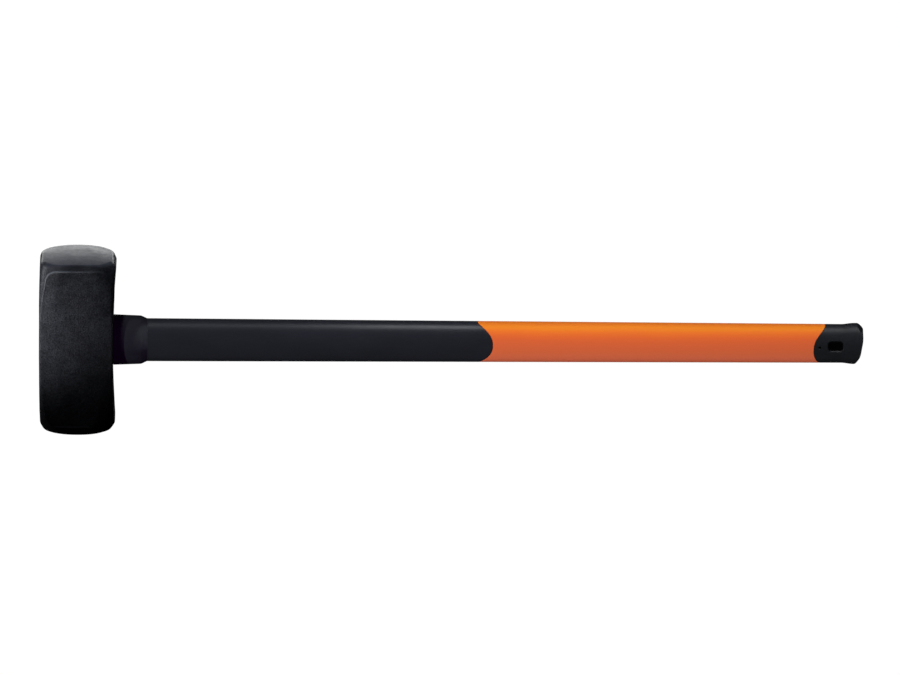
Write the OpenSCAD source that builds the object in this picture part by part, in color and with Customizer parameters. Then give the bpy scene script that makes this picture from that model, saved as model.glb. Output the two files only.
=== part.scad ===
// Double-faced long-handled sledge (wedge-driving maul) with a composite handle.
// Frame: origin at the centre of the lower striking face, +Z up the striking axis to the
// upper face, +X along the handle towards the butt, Y across the cheeks. Millimetres.
// The modules are drawn about the point where the handle's axis crosses the striking
// axis, and on_face() lifts each piece so that the lower face stands at Z = 0.

/* [Head] */
// Length of the head between the flat lands of its two striking faces
head_length = 175.5; // [160:0.5:190]
// Width of the head at its ends, and its depth across the cheeks
head_width = 73.4; // [68:0.1:80]
// How far the side away from the handle swells at mid length
head_bulge = 0.9; // [0:0.1:2]
// How far the handle side is drawn in at mid length
head_waist = 2.5; // [0.5:0.1:4]
// Half height of the flat seat that the collar butts against
seat_half_h = 28; // [26:1:34]
// Height of the bevel round each striking face
bevel_height = 6.4; // [3:0.1:8]
// Depth of the bevel on the sides towards and away from the handle
bevel_side = 2.2; // [1:0.1:5]
// Depth of the bevel on the cheeks
bevel_cheek = 0.5; // [0.2:0.1:3]
// Radius of the crown on the upper striking face
crown_upper = 270; // [180:1:600]
// Radius of the crown on the lower striking face
crown_lower = 480; // [180:1:600]
// Radius of the flat land in the middle of each striking face
land_radius = 10; // [5:1:15]
// Radius over the corners at mid length
corner_mid = 51.0; // [49.6:0.1:51.6]
// How much that radius falls towards each end
corner_fall = 5.8; // [3:0.1:8]
// Shift of the corner relief, which rounds the handle-side corners more
corner_shift = 1.2; // [0:0.1:2]

/* [Eye] */
// Half height of the eye at its throat
eye_half_h = 18.4; // [17.6:0.1:20]
// Half width of the eye at its throat
eye_half_w = 12.9; // [12.2:0.1:14]
// How much the eye opens out from the throat to each mouth
eye_flare = 2.0; // [1:0.1:2.6]
// Depth of the bond's face below the eye's far mouth
bond_recess = 1.5; // [0.5:0.1:3]
// Length of the sealing ring at the handle-side mouth
seal_length = 4; // [2:0.5:6]

/* [Handle] */
// Overall length from the far side of the head to the butt
overall_length = 800; // [700:1:900]
// Half height of the handle at the collar
handle_start = 21.05; // [20:0.05:23]
// Half height of the handle just before the butt flare
handle_end = 18.95; // [18.5:0.05:21]
// Thickness of the handle over its height
handle_ratio = 0.72; // [0.68:0.01:0.8]
// Squareness of the oval section, where 2 is an ellipse
oval_power = 2.25; // [2:0.05:2.8]
// Half height of the glass-fibre core
core_half_h = 15.6; // [14:0.1:16]
// Half width of the glass-fibre core
core_half_w = 10.2; // [9:0.1:10.4]
// Thickness of the black sleeve, and of the cap's skirt
skin = 1.8; // [1.2:0.1:2.2]
// Where the sleeve's tongue reaches furthest along the handle
tongue_tip = 402.7; // [380:0.1:430]
// How far the tongue's edge falls back at the top and bottom of the handle
tongue_fall = 14.8; // [8:0.2:20]

/* [Collar] */
// Half height of the collar where it meets the head
collar_start = 24.75; // [23.5:0.05:26]
// Half height of the collar at its shoulder
collar_end = 23.75; // [23:0.05:25]
// Where the shoulder starts
shoulder_start = 60.7; // [50:0.5:62]
// Where the shoulder runs out on the sleeve
shoulder_end = 67.5; // [65:0.5:72]

/* [Butt cap] */
// Length of the cap from the tip of its wavy edge to the butt
cap_length = 48.5; // [44:0.1:54]
// Half height of the flare at the butt
flare_half_h = 20.1; // [19.5:0.05:22]
// Length of the hanging slot's throat
slot_length = 13.2; // [12:0.2:14.4]
// Height of the hanging slot's throat
slot_height = 6.0; // [5.4:0.2:9]
// Corner radius of the hanging slot's throat
slot_radius = 2.6; // [1.6:0.2:2.6]
// Height of the throat's centre above the handle's axis
slot_z = -1.0; // [-2:0.1:2]
// Length of the slot's countersunk lip at the surface
lip_length = 16.0; // [15:0.2:17]
// Height of the slot's countersunk lip at the surface
lip_height = 11.3; // [10:0.1:12]
// Height of the lip's centre above the handle's axis
lip_z = 0.45; // [-1:0.05:1]
// Length of the slanted, chamfered end of the cap
end_length = 6.5; // [6:0.1:9]
// How far the end slants back from its upper corner to its lower corner
end_slant = 1.9; // [0:0.1:3]
// Radius of the cross pin
pin_radius = 1.25; // [1:0.05:1.6]
// Depth of the pin's ends below the cap's surface
pin_sunk = 1.4; // [0.5:0.1:2]

/* [Hidden] */

sliver = 0.01;                              // thickness of the slices that hulls join
oval_points = 80;                           // points round an oval section
through = 60;                               // size of forms that span the whole handle

// Head, as heights above the handle's axis
half_width = head_width / 2;
z_apex_upper = head_length / 2 + land_radius * land_radius / (2 * crown_upper);
z_apex_lower = head_length / 2 + land_radius * land_radius / (2 * crown_lower);
z_rim = z_apex_upper - pow(half_width - bevel_side, 2) / (2 * crown_upper);
z_bevel = z_rim - bevel_height;             // where the bevels start
relief_power = 4.27;                        // how late the corner relief falls away
relief_run = 10.8;                          // height of the relief's cones past the bevel's start
relief_in_lower = 10.4;                     // how far the lower cone narrows over it
relief_in_upper = 8.0;                      // and the upper cone

// Eye
eye_reach = 44;                             // how far the eye's form runs each way
eye_slope = eye_flare / 40;                 // opening of the eye per mm from the throat

// Stations along the handle
x_far = -(half_width + head_bulge);         // far side of the head
x_seat = half_width - head_waist;           // flat seat for the collar
x_bond = x_far + bond_recess;               // far face of the bond
x_seal = x_seat - seal_length;              // where the bond meets the sealing ring
x_butt = x_far + overall_length;            // end of the handle
x_cap = x_butt - cap_length;                // tip of the cap's edge
x_slot = x_butt - 27.2;                     // centre of the hanging slot
x_flare = x_butt - 20.6;                    // where the cap starts to flare
x_jacket_end = x_slot - slot_length / 2 - 1.1;  // end of the jacket, inside the cap
x_core_end = x_jacket_end - 36;             // butt end of the core
x_pin = x_butt - 42.5;                      // axis of the cross pin
z_pin = -0.6;

tongue_power = 2.4;                         // how blunt the sleeve's tongue is

// Countersink cutter of the hanging slot, drawn wider than the lip and outside the surface
lip_over_length = 2;
lip_over_height = 2.4;
lip_radius = 4.6;
lip_outer_y = 16;
lip_root_y = 9.4;                           // where the countersink meets the throat

// The wavy front edge of the cap: [height, setback from the tip]
CAP_EDGE = [
    [-21, 7.7], [-17.7, 4.7], [-14.7, 2.5], [-12.3, 1.5], [-7.65, 0.15], [-3.4, 0], [0.7, 0.3],
    [4.7, 1.4], [8.5, 3.4], [12.1, 6.0], [15.4, 8.9], [18.2, 11.1], [21, 12]];
edge_limit = 22;                            // the edge runs straight beyond this height
edge_step = 0.75;                           // spacing of the samples that smooth the edge
near_weight = 0.677;                        // weight of the samples one step away
far_weight = 0.21;                          // weight of the samples two steps away

// Half height of the handle at x
function handle_half_h(x) = handle_start
    + (handle_end - handle_start) * (x - shoulder_end) / (x_flare - shoulder_end);
// Signed power of a sine or cosine, which squares up the oval
function squared_up(value) = sign(value) * pow(abs(value), 2 / oval_power);
// Points of an oval section, as [y, z]
function oval(half_h, half_w) = [for (i = [0 : oval_points - 1]) let (t = 360 * i / oval_points)
    [half_w * squared_up(cos(t)), half_h * squared_up(sin(t))]];

// The tongue edge of the sleeve as [x, z], from -reach up to reach
function tongue_edge(reach) = [for (z = [-reach : reach])
    [tongue_tip - tongue_fall * pow(abs(z / handle_half_h(tongue_tip)), tongue_power), z]];

// Sum of the cap edge's setbacks at equal distances above and below z
function setback_pair(z, distance) = lookup(z - distance, CAP_EDGE) + lookup(z + distance, CAP_EDGE);
// Setback at z, smoothed by a weighted mean
function setback(z) = (lookup(z, CAP_EDGE) + near_weight * setback_pair(z, edge_step)
    + far_weight * setback_pair(z, 2 * edge_step)) / (1 + 2 * near_weight + 2 * far_weight);
// The cap's front edge as [x, z], from the top down
function cap_edge() = [for (z = [24 : -1 : -24])
    [x_cap + setback(max(-edge_limit, min(edge_limit, z))), z]];

// Evenly spaced heights between the bevels, from the bottom up
function heights(steps) = [for (i = [-steps : steps]) z_bevel * i / steps];
// How far the waist is drawn in at height z, as a share
function drawn(z) = abs(z) < seat_half_h ? 1
    : 1 - pow((abs(z) - seat_half_h) / (z_bevel - seat_half_h), 2);
// Radius over the corners at height z
function corner_radius(z) = corner_mid - corner_fall * pow(abs(z) / z_bevel, relief_power);
// Upper end of a bevelled outline, run on to twice the bevel; negated, it is the lower end
function bevel_end(depth) = let (half = half_width - 2 * depth, z = z_bevel + 2 * bevel_height)
    [[half, z], [-half, z]];

// Lifts a piece from the handle's axis to its place over the lower striking face
module on_face() translate([0, 0, head_length / 2]) children();

// A prism along the handle from a YZ outline
module along(x, length, points)
    translate([x, 0, 0]) rotate([90, 0, 90]) linear_extrude(length) polygon(points);

// A prism across the handle from an XZ outline
module across(points, half = 40)
    rotate([90, 0, 0]) translate([0, 0, -half]) linear_extrude(2 * half) polygon(points);

// A thin oval slice across the handle at x
module slice(x, half_h, half_w) along(x, sliver, oval(half_h, half_w));

// A slice with the handle's proportions, set in all round by inset
module handle_slice(x, half_h, inset = 0)
    slice(x, half_h - inset, handle_ratio * half_h - inset);

// The handle's outside between two stations
module shank(x0, x1, inset = 0) hull() {
    handle_slice(x0, handle_half_h(x0), inset);
    handle_slice(x1 - sliver, handle_half_h(x1), inset);
}

// The core's straight oval prism
module core_form(x0, x1, inset = 0)
    along(x0, x1 - x0, oval(core_half_h - inset, core_half_w - inset));

// The eye's hourglass form
module eye_form() {
    opening = eye_slope * eye_reach;
    for (x = [-eye_reach, eye_reach - sliver]) hull() {
        slice(x, eye_half_h + opening, eye_half_w + opening);
        slice(-sliver, eye_half_h, eye_half_w);
    }
}

// What fills the eye round the core between two stations; the core is cut from core_from on
module eye_fill(x0, x1, core_from) difference() {
    intersection() {
        eye_form();
        translate([x0, -through / 2, -through / 2]) cube([x1 - x0, through, through]);
    }
    core_form(core_from, 50);
}

// The cross pin's cylinder, centred on the handle
module pin_form(length) translate([x_pin, 0, z_pin]) rotate([90, 0, 0])
    cylinder(r = pin_radius, h = length, center = true, $fn = 48);

// Side outline of the head: waisted on the handle side, swollen on the far side
module head_sides() across(concat(
    [for (z = heights(8)) [half_width - head_waist * drawn(z), z]],
    bevel_end(bevel_side),
    [for (z = heights(8)) [-half_width - head_bulge * (1 - pow(z / z_bevel, 2)), -z]],
    -bevel_end(bevel_side)));

// Straight cheeks of the head with their bevels
module head_cheeks() along(-60, 120, concat(
    [[half_width, -z_bevel], [half_width, z_bevel]],
    bevel_end(bevel_cheek),
    [[-half_width, z_bevel], [-half_width, -z_bevel]],
    -bevel_end(bevel_cheek)));

// Turned form that rounds the head's four long corners
module corner_relief() {
    z_end = z_bevel + relief_run;
    end_radius = corner_radius(z_bevel);
    translate([-corner_shift, 0, 0]) rotate_extrude($fn = 180) polygon(concat(
        [[0, -z_end], [end_radius - relief_in_lower, -z_end]],
        [for (z = heights(12)) [corner_radius(z), z]],
        [[end_radius - relief_in_upper, z_end], [0, z_end]]));
}

// Forged head: waisted square bar, corner relief that grows to the ends, bevelled crowned faces
module hammer_head() color([0.10, 0.10, 0.11]) on_face() difference() {
    intersection() {
        head_sides();
        head_cheeks();
        corner_relief();
        translate([0, 0, z_apex_upper - crown_upper]) sphere(r = crown_upper, $fn = 180);
        translate([0, 0, crown_lower - z_apex_lower]) sphere(r = crown_lower, $fn = 240);
        // Flattens the crowns to their lands
        cube([100, 100, head_length], center = true);
    }
    eye_form();
}

// Cast resin that fills the eye round the core
module eye_bond() color([0.62, 0.55, 0.36]) on_face() eye_fill(x_bond, x_seal, core_from = -50);

// Soft ring that stops the resin at the handle-side mouth
module eye_seal() color([0.12, 0.12, 0.12]) on_face() eye_fill(x_seal, x_seat, core_from = 20);

// Pultruded glass-fibre rod, standing slightly out of the bond's far face
module handle_core() color([0.80, 0.76, 0.62]) on_face() core_form(x_bond - 0.5, x_core_end);

// Moulded jacket on the core, full size only between the sleeve and the cap
module handle_jacket() color([0.90, 0.38, 0.08]) on_face() difference() {
    union() {
        shank(x_seat + 0.3, x_jacket_end, skin);
        intersection() {
            shank(tongue_tip - 40, x_jacket_end);
            across(concat(tongue_edge(24), cap_edge()));
        }
    }
    core_form(0, x_butt);
    pin_form(through);
}

// Thin rubber sleeve from the collar to its tongue-shaped edge
module grip_sleeve() color([0.11, 0.11, 0.13]) on_face() intersection() {
    difference() {
        shank(shoulder_end, tongue_tip + 4);
        shank(shoulder_end - 2, tongue_tip + 6, skin);
    }
    across(concat([[shoulder_end, -26]], tongue_edge(26), [[shoulder_end, 26]]));
}

// Thick collar that takes missed blows, butted against the head
module overstrike_collar() color([0.10, 0.10, 0.12]) on_face() difference() {
    union() {
        hull() {
            handle_slice(x_seat, collar_start);
            handle_slice(shoulder_start, collar_end);
        }
        hull() {
            handle_slice(shoulder_start, collar_end);
            handle_slice(shoulder_end - sliver, handle_half_h(shoulder_end));
        }
    }
    shank(x_seat - 4, shoulder_end + 4, skin);
}

// A rounded rectangular bar at the slot's station, from y0 to y1
module slot_bar(length, height, radius, z, y0, y1) {
    flat_x = length / 2 - radius;
    flat_z = height / 2 - radius;
    translate([x_slot, y1, z]) rotate([90, 0, 0]) linear_extrude(y1 - y0) {
        square([2 * flat_x, height], center = true);
        square([length, 2 * flat_z], center = true);
        for (x = [-flat_x, flat_x], y = [-flat_z, flat_z])
            translate([x, y]) circle(r = radius, $fn = 48);
    }
}

// The slot's straight throat from y0 to y1
module throat(y0, y1) slot_bar(slot_length, slot_height, slot_radius, slot_z, y0, y1);

// The hanging slot: a straight throat with a countersunk lip on each side
module slot_form() {
    throat(-through / 2, through / 2);
    for (side = [0, 1]) mirror([0, side, 0]) hull() {
        slot_bar(lip_length + lip_over_length, lip_height + lip_over_height, lip_radius, lip_z,
            lip_outer_y, lip_outer_y + sliver);
        throat(lip_root_y, lip_root_y + sliver);
    }
}

// Side outline of the cap, from its wavy edge to its slanted, chamfered end
module cap_outline() {
    // [distance short of the butt, height], from the bottom up
    end_points = [
        [end_length + end_slant + 2.3, -24], [end_length + end_slant, -20.2],
        [end_slant + 0.9, -9.9], [end_slant, -5.4], [0, 7.8],
        [0.5, 12.4], [end_length, 20.6], [end_length + 2.5, 24]];
    across(concat(cap_edge(), [for (point = end_points) [x_butt - point[0], point[1]]]));
}

// Butt cap: a skirt over the jacket's end, a spigot in its bore, a flare and a slanted end
module butt_cap() color([0.10, 0.11, 0.12]) on_face() difference() {
    intersection() {
        union() {
            shank(x_cap - 6, x_flare + sliver);
            hull() {
                handle_slice(x_flare, handle_end);
                handle_slice(x_butt - 10, flare_half_h);
                handle_slice(x_butt, flare_half_h + 0.2);
            }
        }
        cap_outline();
    }
    // Room for the jacket, leaving the spigot
    difference() {
        shank(x_cap - 10, x_jacket_end, skin);
        core_form(x_core_end + 3, x_jacket_end + 1, 0.1);
    }
    slot_form();
    pin_form(through);
}

// Cross pin through the skirt, the jacket and the spigot
module cap_pin() color([0.45, 0.45, 0.47]) on_face()
    pin_form(2 * (handle_ratio * handle_half_h(x_pin) - pin_sunk));

hammer_head();
eye_bond();
eye_seal();
handle_core();
handle_jacket();
grip_sleeve();
overstrike_collar();
butt_cap();
cap_pin();
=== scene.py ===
import math

import bpy
import numpy as np
from mathutils import Matrix, Vector


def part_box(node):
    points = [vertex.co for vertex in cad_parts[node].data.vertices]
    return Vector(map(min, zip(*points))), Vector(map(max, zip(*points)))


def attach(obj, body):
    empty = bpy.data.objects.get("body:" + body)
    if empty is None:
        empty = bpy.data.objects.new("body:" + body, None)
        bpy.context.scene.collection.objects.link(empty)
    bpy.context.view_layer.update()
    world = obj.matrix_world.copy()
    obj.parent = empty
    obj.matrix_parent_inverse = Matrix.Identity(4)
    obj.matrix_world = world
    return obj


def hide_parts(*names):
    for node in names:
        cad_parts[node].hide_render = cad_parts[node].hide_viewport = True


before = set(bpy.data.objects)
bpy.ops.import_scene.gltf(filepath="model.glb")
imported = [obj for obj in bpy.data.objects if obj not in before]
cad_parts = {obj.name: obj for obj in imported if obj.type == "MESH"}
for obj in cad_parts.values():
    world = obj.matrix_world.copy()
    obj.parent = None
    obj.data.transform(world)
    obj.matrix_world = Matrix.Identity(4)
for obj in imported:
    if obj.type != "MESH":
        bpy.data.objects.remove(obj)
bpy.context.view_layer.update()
MM = 0.001


def box_mm(piece):
    return [np.array(corner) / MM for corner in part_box(piece)]


head_lo, head_hi = box_mm("hammer_head")
cap_lo, cap_hi = box_mm("butt_cap")
collar_lo, collar_hi = box_mm("overstrike_collar")
sleeve_hi = box_mm("grip_sleeve")[1]
core_lo, core_hi = box_mm("handle_core")
pin_lo, pin_hi = box_mm("cap_pin")

# ---------------------------------------------------------------- sizes, in millimetres
AXIS_H = (head_lo[2] + head_hi[2]) / 2  # height of the handle's axis above the floor

# stations along the handle
X_SEAT = collar_lo[0]  # where the collar meets the head
X_COLLAR = collar_hi[0]  # end of the collar
X_TONGUE = sleeve_hi[0]  # tip of the sleeve's tongue
X_CAP, X_BUTT = cap_lo[0], cap_hi[0]
X_FLARE = X_BUTT - 20.6  # where the cap starts to flare
X_SLOT = X_BUTT - 27.2  # middle of the slot through the cap
X_JACKET_END = X_SLOT - 7.7
X_PIN, Z_PIN = (pin_lo[0] + pin_hi[0]) / 2, (pin_lo[2] + pin_hi[2]) / 2 - AXIS_H

# head
HALF_W = head_hi[1]  # half width across the cheeks
BULGE = -head_lo[0] - HALF_W  # how far the left side swells past that
WAIST = HALF_W - X_SEAT  # how far the right side draws in at the seat
HALF_LEN = (head_hi[2] - head_lo[2]) / 2
SEAT_H = 28.0  # half height of the seat
CROWN_TOP_R, CROWN_LOW_R = 270.0, 480.0  # crown of the upper and lower striking face
LAND_R = 10.0  # the flat at the middle of each crown
CORNER_MID, CORNER_FALL, CORNER_POWER = 51.0, 5.8, 4.27  # corner radius and its barrelling
CORNER_SHIFT = 1.2  # the corners' axis lies this far to the left
Z_BODY, Z_RIM = 79.3, 85.6  # start and end of the rim, from the squared body to the face
RIM_TOP_R, RIM_LOW_R = 42.8, 38.8  # corner radius of the upper and lower face
RIM_Y, RIM_BACK, RIM_LEFT, RIM_RIGHT = 36.2, 34.6, 34.2, 34.0  # sides of a face's outline
RIDGE_Z, RIDGE, RIDGE_WIDTH = 78.6, 0.62, 0.62  # end, height and width of the cheeks' ridge
RIDGE_MID = -0.4
RIDGE_AT_Z = (0, 30, 40.5, 48.6, 56.7, 64.8, 73, 81)
RIDGE_HALF_X = (36.6, 36.0, 35.2, 33.9, 32.5, 31.2, 30.1, 29.6)  # its half width at those heights
EYE_H, EYE_W, EYE_SPREAD = 18.4, 12.9, 0.05  # half height, half width, growth along x

# handle
OVAL = 2.25  # power of the oval section
GRIP_START, GRIP_END = 21.05, 18.95  # half height at the collar and at the flare
ASPECT = 0.72  # width over height
CORE_H, CORE_W = 15.6, 10.2  # half sizes of the core
SKIN = 1.8  # thickness of the outer mouldings
LINING = SKIN - 0.06  # inset of the sleeve's and the collar's inner wall
SEAM = 0.07  # the seam between two mouldings, half on each side
TONGUE_LEN, TONGUE_POWER = 14.8, 2.4

# collar: half height at the seat and at the shoulder, the shoulder's x, the run-out's slope
COLLAR_START, COLLAR_END, X_SHOULDER, RUN_OUT = 24.75, 23.75, 60.7, 0.47

# cap: slot length, reach above and below the axis, corner radius; first its throat, then its lip
SLOT_L, SLOT_UP, SLOT_DOWN, SLOT_R = 13.2, 2.0, 4.0, 2.6
LIP_L, LIP_UP, LIP_DOWN, LIP_R = 16.0, 6.1, 5.3, 4.2
# the wavy left edge of the cap: heights, and x past the cap's start
EDGE_Z = [-21, -17.7, -14.7, -12.3, -7.65, -3.4, 0.7, 4.7, 8.5, 12.1, 15.4, 18.2, 21]
EDGE_X = [7.7, 4.7, 2.5, 1.5, 0.15, 0.0, 0.3, 1.4, 3.4, 6.0, 8.9, 11.1, 12.0]
EDGE_LEAST = 0.032  # how far the smoothed run stays from its own lowest point
CAP_END = [  # outline of the slanted, chamfered end, from the top down: x, z
    (X_BUTT - 8.0, 22.6),
    (X_BUTT - 0.5, 12.4),
    (X_BUTT, 7.8),
    (X_BUTT - 1.9, -5.4),
    (X_BUTT - 2.8, -9.9),
    (X_BUTT - 10.0, -22.8),
]

# segments round the core and round the handle's mouldings
CORE_SEGS, GRIP_SEGS, PIN_SEGS = 96, 160, 40


# ---------------------------------------------------------------- fields
def smax(a, b, reach):
    """Maximum of two distances with their meeting edge rounded over about reach."""
    h = np.maximum(reach - np.abs(a - b), 0) / reach
    return np.maximum(a, b) + h * h * reach / 4


def smin(a, b, reach):
    return -smax(-a, -b, reach)


def soft_abs(value):
    return np.sqrt(value * value + 0.25)


def ease(share):
    """Smooth step from 0 to 1."""
    share = np.clip(share, 0, 1)
    return share * share * (3 - 2 * share)


def oval_gap(y, z, high, wide):
    """Distance-like value, negative inside an oval of half sizes high and wide."""
    q = ((np.abs(y) / wide) ** OVAL + (np.abs(z) / high) ** OVAL) ** (1 / OVAL)
    return np.sqrt(y * y + z * z) * (1 - 1 / np.maximum(q, 1e-3))


def rounded_box(u, w, size_u, size_w, radius):
    """Distance to a rounded rectangle."""
    du, dw = np.abs(u) - (size_u / 2 - radius), np.abs(w) - (size_w / 2 - radius)
    outside = np.sqrt(np.maximum(du, 0) ** 2 + np.maximum(dw, 0) ** 2)
    return outside + np.minimum(np.maximum(du, dw), 0) - radius


def value_noise(points, scale, seed):
    """Smooth noise from -1 to 1 at the points, with features of about scale."""
    q = points / scale
    cell = np.floor(q).astype(np.int64)
    f = q - cell
    f = f * f * f * (f * (f * 6 - 15) + 10)

    def lattice(c):
        h = c[..., 0] * 73856093 ^ c[..., 1] * 19349663 ^ c[..., 2] * 83492791
        h = h ^ (seed * 2654435761)
        h = (h ^ (h >> 13)) * 1274126177
        h = (h ^ (h >> 16)) & 0xFFFFFF
        return h / float(0x7FFFFF) - 1.0

    out = 0.0
    for corner in np.ndindex(2, 2, 2):
        weight = 1.0
        for axis, far in enumerate(corner):
            weight = weight * (f[..., axis] if far else 1 - f[..., axis])
        out = out + weight * lattice(cell + np.array(corner))
    return out


# ---------------------------------------------------------------- mesh tools
def gradient(field, points, h=0.02):
    out = np.empty_like(points)
    for axis in range(3):
        d = np.zeros(3)
        d[axis] = h
        out[:, axis] = (field(*(points + d).T) - field(*(points - d).T)) / (2 * h)
    return out


def surface_net(field, axes, rounds=3):
    """Closed quad mesh of field = 0 on the grid given by three coordinate lists, relaxed and
    then moved onto the true surface. Returns vertices, quads and true normals."""
    grid = np.stack(np.meshgrid(*axes, indexing="ij"), -1)
    f = field(grid[..., 0], grid[..., 1], grid[..., 2])
    shape = tuple(n - 1 for n in f.shape)
    total = np.zeros(shape + (3,))
    count = np.zeros(shape)
    crossings = []
    for a in range(3):
        lo = [slice(None)] * 3
        hi = [slice(None)] * 3
        lo[a], hi[a] = slice(0, -1), slice(1, None)
        lo, hi = tuple(lo), tuple(hi)
        f0, f1 = f[lo], f[hi]
        cross = (f0 < 0) != (f1 < 0)
        t = np.where(cross, f0 / np.where(f0 == f1, 1, f0 - f1), 0)
        pos = (grid[lo] + t[..., None] * (grid[hi] - grid[lo])) * cross[..., None]
        b, c = [other for other in range(3) if other != a]
        for d0, d1 in np.ndindex(2, 2):
            s = [slice(None)] * 3
            s[b] = slice(d0, d0 + shape[b])
            s[c] = slice(d1, d1 + shape[c])
            total += pos[tuple(s)]
            count += cross[tuple(s)]
        crossings.append((cross, f0 < 0))
    used = count > 0
    index = np.full(shape, -1, np.int64)
    index[used] = np.arange(used.sum())
    verts = total[used] / count[used][:, None]

    # one quad round every grid edge that crosses the surface
    quads = []
    for a, (cross, inside) in enumerate(crossings):
        b, c = (a + 1) % 3, (a + 2) % 3
        s = [slice(None)] * 3
        s[b], s[c] = slice(1, -1), slice(1, -1)
        where = np.argwhere(cross[tuple(s)])
        where[:, b] += 1
        where[:, c] += 1
        ring = []
        for db, dc in ((-1, -1), (0, -1), (0, 0), (-1, 0)):
            w = where.copy()
            w[:, b] += db
            w[:, c] += dc
            ring.append(index[tuple(w.T)])
        quad = np.stack(ring, 1)
        flip = ~inside[tuple(where.T)]
        quad[flip] = quad[flip][:, ::-1]
        quads.append(quad)
    quads = np.concatenate(quads)
    edges = np.concatenate([quads[:, [i, (i + 1) % 4]] for i in range(4)])
    starts, stops = edges.T
    limit = 0.6 * min(np.diff(a).min() for a in axes)

    def project(v, times):
        """Steps the points onto the surface, no step longer than the limit."""
        for _ in range(times):
            g = gradient(field, v)
            gg = np.maximum((g * g).sum(1), 1e-6)
            step = -(field(*v.T) / gg)[:, None] * g
            size = np.linalg.norm(step, axis=1, keepdims=True)
            v = v + step * np.minimum(1, limit / np.maximum(size, 1e-9))
        return v

    verts = project(verts, 3)
    size = len(verts)
    links = np.bincount(starts, minlength=size) + np.bincount(stops, minlength=size)
    for _ in range(rounds):
        near = np.zeros_like(verts)
        for a in range(3):
            near[:, a] = np.bincount(starts, verts[stops, a], size) + np.bincount(
                stops, verts[starts, a], size
            )
        verts = project(verts + 0.5 * (near / links[:, None] - verts), 2)
    normals = gradient(field, verts)
    normals /= np.maximum(np.linalg.norm(normals, axis=1, keepdims=True), 1e-9)
    return verts, quads, normals


def graded(*spans):
    """Grid coordinates from spans of (start, end, step), joined end to end."""
    out = []
    for start, end, step in spans:
        n = max(1, int(round((end - start) / step)))
        out.extend(start + (end - start) * np.arange(n) / n)
    out.append(spans[-1][1])
    return np.array(out)


def add_piece(name, verts, faces, material, replaces, slot, normals=None, attributes=None):
    metres = (np.asarray(verts, float) + np.array([0, 0, AXIS_H])) * MM
    mesh = bpy.data.meshes.new(name)
    mesh.from_pydata(metres.tolist(), [], [list(map(int, face)) for face in faces])
    mesh.polygons.foreach_set("use_smooth", [True] * len(mesh.polygons))
    mesh.update()
    if normals is not None:
        mesh.normals_split_custom_set_from_vertices(normals.tolist())
    ob = bpy.data.objects.new(name, mesh)
    bpy.context.scene.collection.objects.link(ob)
    mesh.materials.append(material)
    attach(ob, "root")
    for key, data in (attributes or {}).items():
        layer = mesh.attributes.new(key, "FLOAT", "POINT")
        layer.data.foreach_set("value", np.asarray(data, np.float32))
    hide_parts(replaces)
    return ob


def oval(segs):
    """Unit oval section: y and z factors at segs angles."""
    t = 2 * np.pi * np.arange(segs) / segs
    c, s = np.cos(t), np.sin(t)
    return np.sign(c) * np.abs(c) ** (2 / OVAL), np.sign(s) * np.abs(s) ** (2 / OVAL)


def oval_ring(x, high, wide, segs):
    """One ring of a loft: x, half height and half width, each a number or one per angle."""
    oval_y, oval_z = oval(segs)
    x, high, wide = (np.broadcast_to(np.asarray(v, float), (segs,)) for v in (x, high, wide))
    return np.stack([x, wide * oval_y, high * oval_z], 1)


def roll(ring, edge, way, radius, steps):
    """Rings that roll over an edge facing way, from the surface down; ring takes x and inset."""
    return [
        ring(edge - way * radius * (1 - math.sin(t)), radius * (1 - math.cos(t)))
        for t in np.linspace(0, math.pi / 2, steps)
    ]


def outward(verts, faces):
    """Turns all faces over when the closed mesh is inside out."""
    volume = 0.0
    for face in faces:
        first = verts[face[0]]
        for k in range(1, len(face) - 1):
            volume += np.dot(first, np.cross(verts[face[k]], verts[face[k + 1]]))
    return faces if volume > 0 else [list(face)[::-1] for face in faces]


def band_quads(rows, count, segs):
    """Quads from each of the first rows rings to the next one, of count rings."""
    i = np.arange(rows)[:, None]
    j = np.arange(segs)[None, :]
    here, there = i * segs, (i + 1) % count * segs
    turn = (j + 1) % segs
    return np.stack([here + j, here + turn, there + turn, there + j], -1).reshape(-1, 4)


def tube_mesh(rings):
    """A closed tube whose rings close on themselves in both directions."""
    verts = np.concatenate(rings)
    return verts, outward(verts, band_quads(len(rings), len(rings), len(rings[0])))


def solid_mesh(rings):
    """A solid loft, closed at both ends on a middle point."""
    m, n = len(rings), len(rings[0])
    verts = np.concatenate(rings + [rings[0].mean(0)[None], rings[-1].mean(0)[None]])
    faces = [list(quad) for quad in band_quads(m - 1, m, n)]
    for j in range(n):
        faces.append([m * n, (j + 1) % n, j])
        faces.append([m * n + 1, (m - 1) * n + j, (m - 1) * n + (j + 1) % n])
    return verts, outward(verts, faces)


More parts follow.
